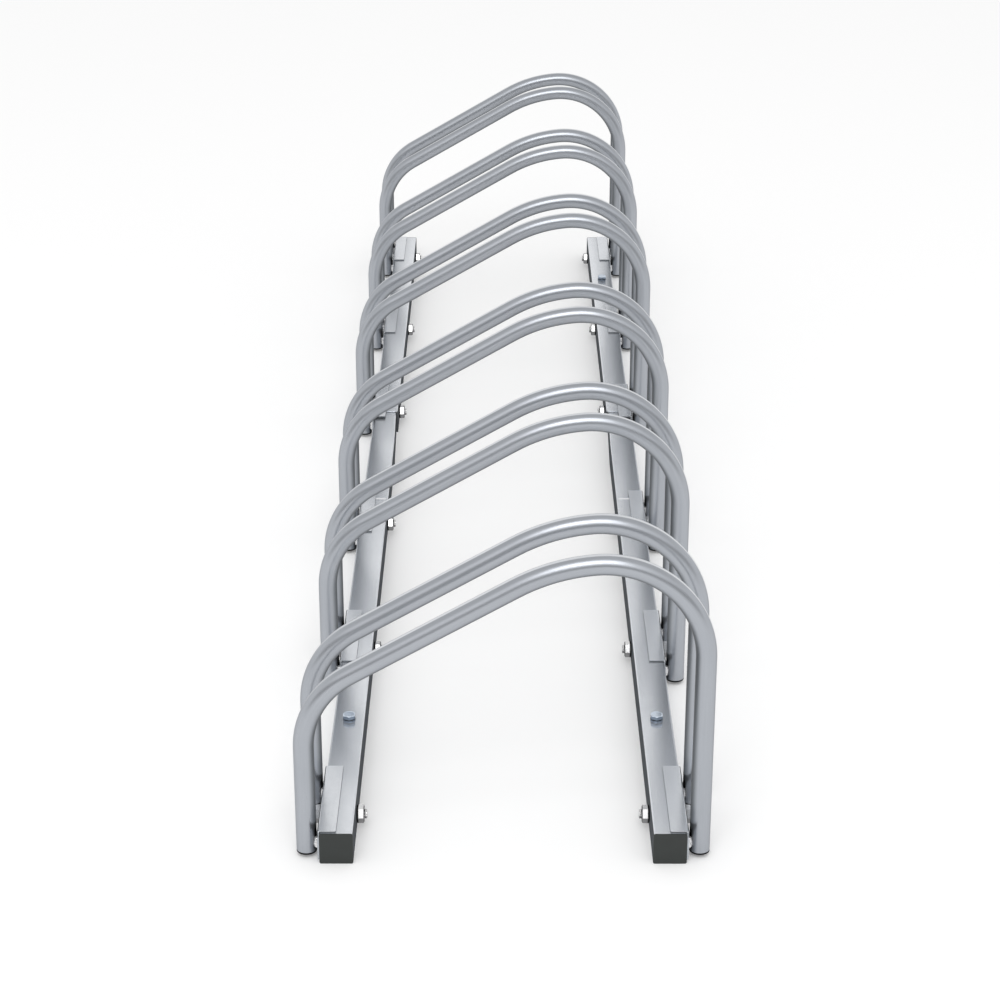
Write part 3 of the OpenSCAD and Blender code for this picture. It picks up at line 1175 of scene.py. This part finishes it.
@dataclass
class Fasteners:
    """Bolts, nuts and washers.

    Attributes:
        head: The cross bolts' heads.
        nut: Their nuts.
        bolt_thread: Their threads.
        stub: How far a bolt stands out past its nut.
        anchor_head: The floor anchors' heads.
        anchor_shank: Radius of an anchor's shank.
        anchor_length: Length of an anchor's shank.
        washer_radius: Outer radius of an anchor's washer.
        washer_bore: Radius of the washer's hole.
        washer_thickness: Thickness of the washer.
        washer_edge: Rounding of the washer's edges.
        clearance: Gap between the thread and the nut.
        flare: Width of the flare at each end of a bore.
        dish: Depth of the dish in a head's top.
        dish_share: Share of the top's radius where the dish is deep.
        sharp: The angle in degrees past which an edge stays sharp.
    """

    head: HexHead = HexHead(13 * MM, 5.3 * MM)
    nut: HexHead = HexHead(13 * MM, 6.4 * MM)
    bolt_thread: Thread = Thread(4 * MM, 0.5 * MM, 1.25 * MM)
    stub: float = 2.2 * MM
    anchor_head: HexHead = HexHead(10 * MM, 4 * MM)
    anchor_shank: float = 3 * MM
    anchor_length: float = 25 * MM
    washer_radius: float = 5.4 * MM
    washer_bore: float = 3.25 * MM
    washer_thickness: float = 1.6 * MM
    washer_edge: float = 0.25 * MM
    clearance: float = 0.1 * MM
    flare: float = 0.3 * MM
    dish: float = 0.25 * MM
    dish_share: float = 0.9
    sharp: float = 25.0

    @staticmethod
    def turned(radii: np.ndarray, heights: np.ndarray, angle: np.ndarray) -> np.ndarray:
        """The grid about Z of radii by row and angle: (r cos a, r sin a, height)."""
        tall = np.broadcast_to(heights[:, None], radii.shape)
        return np.stack([radii * np.cos(angle), radii * np.sin(angle), tall], axis=-1)

    def bolt(self, head: HexHead, shank: float, length: float, thread: Thread | None) -> Surface:
        """A bolt whose head stands on the plane at zero and whose shank goes down.

        Args:
            head: Its head.
            shank: Radius of its shank.
            length: Length of its shank.
            thread: The thread at the shank's end, if it shows.

        Returns:
            The closed bolt.
        """
        angle, _ = head.outline()
        radii, heights = head.rows(chamfered_low=False)
        rim = head.flats / 2 * head.rim
        top = np.full((2, head.sides), [[rim * self.dish_share], [rim]])
        plain = np.full((2, head.sides), shank)
        parts = [(top, np.array([head.height - self.dish, head.height]))]
        parts.append((radii[::-1], heights[::-1]))
        if thread is None:
            parts.append((plain, np.array([0.0, -length])))
        else:
            cut, along = thread.rows(length, angle)
            parts += [(plain, np.array([0.0, -along[0]])), (cut, -along)]
        return Surface.swept(np.vstack([self.turned(r, h, angle) for r, h in parts]))

    def ring(self, outer: np.ndarray, heights: np.ndarray, bore: float) -> Surface:
        """A nut or washer with a plain bore.

        Args:
            outer: Outer radii by row and angle.
            heights: The rows' heights.
            bore: Radius of the bore.

        Returns:
            The closed ring.
        """
        angle = np.linspace(0, 2 * np.pi, outer.shape[1], endpoint=False)
        wide, low, high = bore + self.flare, heights[0], heights[-1]
        inner = np.full((4, len(angle)), [[wide], [bore], [bore], [wide]])
        levels = np.array([high, high - self.flare, low + self.flare, low])
        grids = [self.turned(outer, heights, angle), self.turned(inner, levels, angle)]
        return Surface.swept(np.vstack(grids), wrapped=True)

    def build(self, layout: Layout, wardrobe: Wardrobe) -> None:
        """Makes every bolt, nut and washer in place of the plain ones.

        Args:
            layout: The rack's places.
            wardrobe: The materials.
        """
        inner_x = layout.rail_x - layout.rail_width / 2
        bolt_length = layout.plate_x - inner_x + self.nut.height + self.stub
        bolt = self.bolt(self.head, self.bolt_thread.radius, bolt_length, self.bolt_thread)
        outer, heights = self.nut.rows(chamfered_low=True)
        nut = self.ring(outer, heights, self.bolt_thread.radius + self.clearance)
        # A head points away from the middle of the rack and a nut towards it, flat side up
        kinds = (("cross_bolts", bolt, layout.plate_x, 1), ("cross_nuts", nut, inner_x, -1))
        for side in Side:
            for kind, part, x, facing in kinds:
                out = side.value * facing
                axes = np.array([[0, 0, 1], [0, out, 0], [out, 0, 0]])
                places = [(side.value * x, y, layout.rail_width / 2) for y in layout.stations]
                joined = Surface.joined([part.placed(axes, place) for place in places])
                node = f"{side.word}_{kind}"
                wardrobe.swap(node, f"{node}_detailed", Slot.BRIGHT_ZINC, joined, self.sharp)
        self.build_anchors(layout, wardrobe)

    def build_anchors(self, layout: Layout, wardrobe: Wardrobe) -> None:
        """Makes the floor anchors and their washers.

        Args:
            layout: The rack's places.
            wardrobe: The materials.
        """
        low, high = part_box("anchor_washers")
        ends = (low.y + self.washer_radius, high.y - self.washer_radius)
        edge, rise, wide = self.washer_edge, self.washer_thickness, self.washer_radius
        angles = self.anchor_head.sides
        outer = np.full((4, angles), [[wide - edge], [wide], [wide], [wide - edge]])
        washer = self.ring(outer, np.array([0, edge, rise - edge, rise]), self.washer_bore)
        # A corner of each head points along the rack, as the outline has it
        bolt = self.bolt(self.anchor_head, self.anchor_shank, self.anchor_length, None)
        kinds = (("anchor_bolts", bolt, rise), ("anchor_washers", washer, 0.0))
        for node, part, lift in kinds:
            height = layout.rail_width + lift
            places = [(side.value * layout.rail_x, y, height) for side in Side for y in ends]
            joined = Surface.joined([part.placed(np.eye(3), place) for place in places])
            wardrobe.swap(node, f"{node}_detailed", Slot.ANCHOR_ZINC, joined, self.sharp)


@dataclass
class WeldBeads:
    """The uneven beads that join the legs to the brackets.

    Attributes:
        radius: Middle radius of a bead.
        plain_radius: Radius of the plain bead that it stands in for.
        margin: How much shorter it is than the plain bead.
        ripple: Share of the radius that the ripples take.
        ripples: How many ripples a bead has.
        lumps: Share of the radius that the random lumps take.
        waves: How many random waves make them.
        around: Fewest waves round a bead, and one more than the most.
        along: Least and most turns of such a wave along the bead, in radians.
        tilt: How far the ripples lean at most, in radians.
        pole: How far the end rows stay off the bead's ends, in radians.
        rows: Rows along a bead.
        sides: Points round it.
        seed: Seed of the random waves.
    """

    radius: float = 2.7 * MM
    plain_radius: float = 3.0 * MM
    margin: float = 0.4 * MM
    ripple: float = 0.10
    ripples: float = 4.0
    lumps: float = 0.10
    waves: int = 4
    around: tuple[int, int] = (1, 5)
    along: Span = (2.0, 9.0)
    tilt: float = 0.6
    pole: float = 0.06
    rows: int = 26
    sides: int = 28
    seed: int = 7

    def bead(self, rng: np.random.Generator, length: float) -> Surface:
        """One bead along Z about the origin.

        The radius at a share s of the length is the middle radius times the fourth root
        of 1 less the fourth power of 2s - 1, times 1 plus ripples along the bead and a
        few random waves round it.

        Args:
            rng: The source of the random waves.
            length: The bead's length.

        Returns:
            The closed bead.
        """
        turn = np.linspace(self.pole, np.pi - self.pole, self.rows)
        share = (1 - np.cos(turn))[:, None] / 2
        angle = np.linspace(0, 2 * np.pi, self.sides, endpoint=False)
        swell = (1 - (2 * share - 1) ** 4) ** 0.25
        tilt = rng.uniform(-self.tilt, self.tilt)
        wave = np.abs(np.sin(np.pi * self.ripples * share + tilt * np.cos(angle)))
        lumps = np.zeros((self.rows, self.sides))
        for _ in range(self.waves):
            around, along = rng.integers(*self.around), rng.uniform(*self.along)
            phase = rng.uniform(0, 2 * np.pi, 2)
            lumps += np.sin(around * angle + phase[0]) * np.sin(along * share + phase[1])
        radii = self.radius * swell * (1 + self.ripple * (wave - 0.5) + self.lumps * lumps / 2)
        return Surface.swept(Fasteners.turned(radii, length * (share[:, 0] - 0.5), angle))

    def build(self, layout: Layout, wardrobe: Wardrobe) -> None:
        """Lays a bead in each groove between a leg and its bracket.

        Args:
            layout: The rack's places.
            wardrobe: The materials.
        """
        rng = np.random.default_rng(self.seed)
        low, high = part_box("right_weld_beads")
        bead_x, middle_z = high.x - self.plain_radius, (low.z + high.z) / 2
        reach = high.y - self.plain_radius - max(layout.hoops.values())
        length = high.z - low.z - self.margin
        for side in Side:
            grooves = [y + face * reach for y in layout.hoops.values() for face in (-1, 1)]
            places = [(side.value * bead_x, y, middle_z) for y in grooves]
            beads = [self.bead(rng, length).placed(np.eye(3), place) for place in places]
            node = f"{side.word}_weld_beads"
            wardrobe.swap(node, f"{node}_uneven", Slot.WELD_METAL, Surface.joined(beads))


class PlainParts:
    """The CAD nodes whose shape is already right."""

    def build(self, frame: dict[str, Any], wardrobe: Wardrobe) -> None:
        """Dresses the rails, joiners, brackets, caps and foot plugs.

        Args:
            wardrobe: The materials.
        """
        for name, node in frame["nodes"].items():
            if "rail" in name or "bracket" in name:
                wardrobe.dress(node, Slot.GALVANISED)
            elif "cap" in name:
                wardrobe.dress(node, Slot.CAP_PLASTIC)
            elif "foot_plugs" in name:
                wardrobe.dress(node, Slot.PLUG_PLASTIC)
        LOG.info("%d nodes in the frame", len(frame["nodes"]))


# Studio


@dataclass(frozen=True)
class Softbox:
    """A soft rectangular lamp.

    Attributes:
        name: Its name.
        place: Where it is.
        aim: The point that it faces.
        size: Its width and its length.
        power: Its power in watts.
    """

    name: str
    place: tuple[float, float, float]
    aim: tuple[float, float, float]
    size: tuple[float, float]
    power: float

    def build(self) -> None:
        """Makes the lamp."""
        lamp = bpy.data.lights.new(self.name, "AREA")
        lamp.shape = "RECTANGLE"
        lamp.size, lamp.size_y = self.size
        lamp.energy = self.power
        made = new_object(self.name, lamp)
        made.location = self.place
        heading = Vector(self.aim) - Vector(self.place)
        made.rotation_euler = heading.to_track_quat("-Z", "Y").to_euler()


@dataclass
class Studio:
    """The floor, the lamps, the surroundings and the camera.

    Attributes:
        floor_size: Side of the square floor.
        floor_colour: The floor's grey level.
        floor_z: Height of the floor, a hair under the rack.
        floor_lift: How much the floor is lifted towards white where it is seen.
        ambient: Strength of the surroundings as light.
        grey_rises: Rise of a heading up to which the surroundings look white, and from
            which they look as grey as overhead.
        ceiling: How bright the surroundings look overhead, where eye level is 1.
        near_shares: Where the near side of the room starts behind the camera and is full,
            as shares of a heading's length.
        dark_side: How bright a reflection of the unlit near side of the room is.
        dark_rises: Rise up to which the near side is dark, and from which it glows.
        glow: How bright the near side's wall is above that.
        glow_rises: Rise up to which it glows, and from which it looks like the rest.
        lamps: The softboxes.
        camera_place: Where the camera is.
        pitch: How far the camera looks down, in degrees.
        yaw: How far it turns to the right, in degrees.
        roll: How far it leans, in degrees.
        focal: Its focal length in pixels of the picture.
        picture: Width of the picture in pixels.
        sensor: Width of the camera's sensor in millimetres.
    """

    floor_size: float = 60.0
    floor_colour: float = 0.80
    floor_z: float = -0.1 * MM
    floor_lift: float = 0.16
    ambient: float = 0.93
    grey_rises: Span = (0.20, 0.70)
    ceiling: float = 0.73
    near_shares: Span = (0.1, 0.6)
    dark_side: float = 0.36
    dark_rises: Span = (0.26, 0.42)
    glow: float = 1.12
    glow_rises: Span = (0.80, 0.92)
    lamps: tuple[Softbox, ...] = (
        Softbox("near_softbox", (-0.3, -3.5, 3.8), (0.0, -0.1, 0.1), (3.0, 2.8), 68.0),
    )
    camera_place: tuple[float, float, float] = (-0.0033, -2.456, 1.0281)
    pitch: float = 23.287
    yaw: float = 0.021
    roll: float = 0.037
    focal: float = 2420.0
    picture: int = 1000
    sensor: float = 36.0

    def build_floor(self) -> None:
        """Lays the pale floor, which the rack's shadow falls on."""
        half = self.floor_size / 2
        turns = ((-1, -1), (1, -1), (1, 1), (-1, 1))
        corners = [(half * x, half * y, self.floor_z) for x, y in turns]
        mesh = bpy.data.meshes.new("studio_floor")
        mesh.from_pydata(corners, [], [(0, 1, 2, 3)])
        made = bpy.data.materials.new("pale_floor")
        made.use_nodes = True
        graph = Graph(made.node_tree)
        level = self.floor_colour
        plain = graph.add("ShaderNodeBsdfDiffuse", {}, {"Color": (level, level, level, 1.0)})
        lift = graph.add("ShaderNodeEmission", {}, {"Strength": self.seen(graph) * self.floor_lift})
        both = graph.add("ShaderNodeAddShader", {}, {0: plain, 1: lift})
        graph.add("ShaderNodeOutputMaterial", {}, {"Surface": both})
        mesh.materials.append(made)
        new_object("studio_floor", mesh)

    @staticmethod
    def seen(graph: Graph) -> Wire:
        """A mask that is 1 where the camera, a reflection or glass sees the surface.

        Args:
            graph: The graph of a material or the world.

        Returns:
            The mask.
        """
        rays = [graph.add("ShaderNodeLightPath", {}, {}, f"Is {kind} Ray")
                for kind in ("Camera", "Glossy", "Transmission")]
        return rays[0] | rays[1] | rays[2]

    def build_world(self) -> None:
        """Makes the surroundings, which give even light.

        Where they are seen they are white at eye level and greyer above. Behind the
        camera they are dark up to a low rise and glow above it.
        """
        world = bpy.data.worlds.new("studio_world")
        world.use_nodes = True
        bpy.context.scene.world = world
        graph = Graph(world.node_tree)
        heading = graph.add("ShaderNodeTexCoord", {}, {}, "Generated")
        away, rise = graph.along("Y", heading), graph.along("Z", heading)
        overhead = graph.ramp(rise, self.grey_rises)
        near_side = graph.ramp(-1 * away, self.near_shares)
        glowing = graph.ramp(rise, self.dark_rises)
        near_side = near_side * (1.0 - graph.ramp(rise, self.glow_rises))
        near_wall = self.dark_side + glowing * (self.glow - self.dark_side)
        far_wall = 1.0 - overhead * (1.0 - self.ceiling)
        shown = far_wall + near_side * (near_wall - far_wall)
        seen = self.seen(graph)
        strength = seen * shown + (1.0 - seen) * self.ambient
        light = graph.add("ShaderNodeBackground", {}, {"Color": (1, 1, 1, 1), "Strength": strength})
        graph.add("ShaderNodeOutputWorld", {}, {"Surface": light})

    def build_camera(self) -> None:
        """Places the camera where the photograph was taken from."""
        pitch, yaw, roll = (math.radians(turn) for turn in (self.pitch, self.yaw, self.roll))
        flat = Vector((math.sin(yaw), math.cos(yaw), 0.0)) * math.cos(pitch)
        ahead = flat - Vector((0.0, 0.0, math.sin(pitch)))
        level = Vector((math.cos(yaw), -math.sin(yaw), 0.0))
        upward = level.cross(ahead)
        right = math.cos(roll) * level + math.sin(roll) * upward
        up = -math.sin(roll) * level + math.cos(roll) * upward
        camera = bpy.data.cameras.new("photo_camera")
        camera.sensor_width = self.sensor
        camera.lens = self.focal / self.picture * self.sensor
        made = new_object("photo_camera", camera)
        turn = Matrix((right, up, -ahead)).transposed().to_4x4()
        made.matrix_world = Matrix.Translation(self.camera_place) @ turn
        bpy.context.scene.camera = made

    def build(self) -> None:
        """Makes the whole studio."""
        self.build_camera()
        self.build_floor()
        self.build_world()
        for lamp in self.lamps:
            lamp.build()
        bpy.context.scene.view_settings.view_transform = "Standard"


def main() -> None:
    """Builds the dressed rack and its studio."""
    logging.basicConfig(level=logging.INFO, format="%(name)s: %(message)s")
    for old in list(bpy.data.objects):
        bpy.data.objects.remove(old)
    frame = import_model()
    wardrobe = Wardrobe()
    hoops = Hoops()
    layout = Layout.from_frame(hoops.tube_radius)
    PlainParts().build(frame, wardrobe)
    hoops.build(layout, wardrobe)
    Fasteners().build(layout, wardrobe)
    WeldBeads().build(layout, wardrobe)
    Studio().build()


if __name__ == "__main__":
    main()
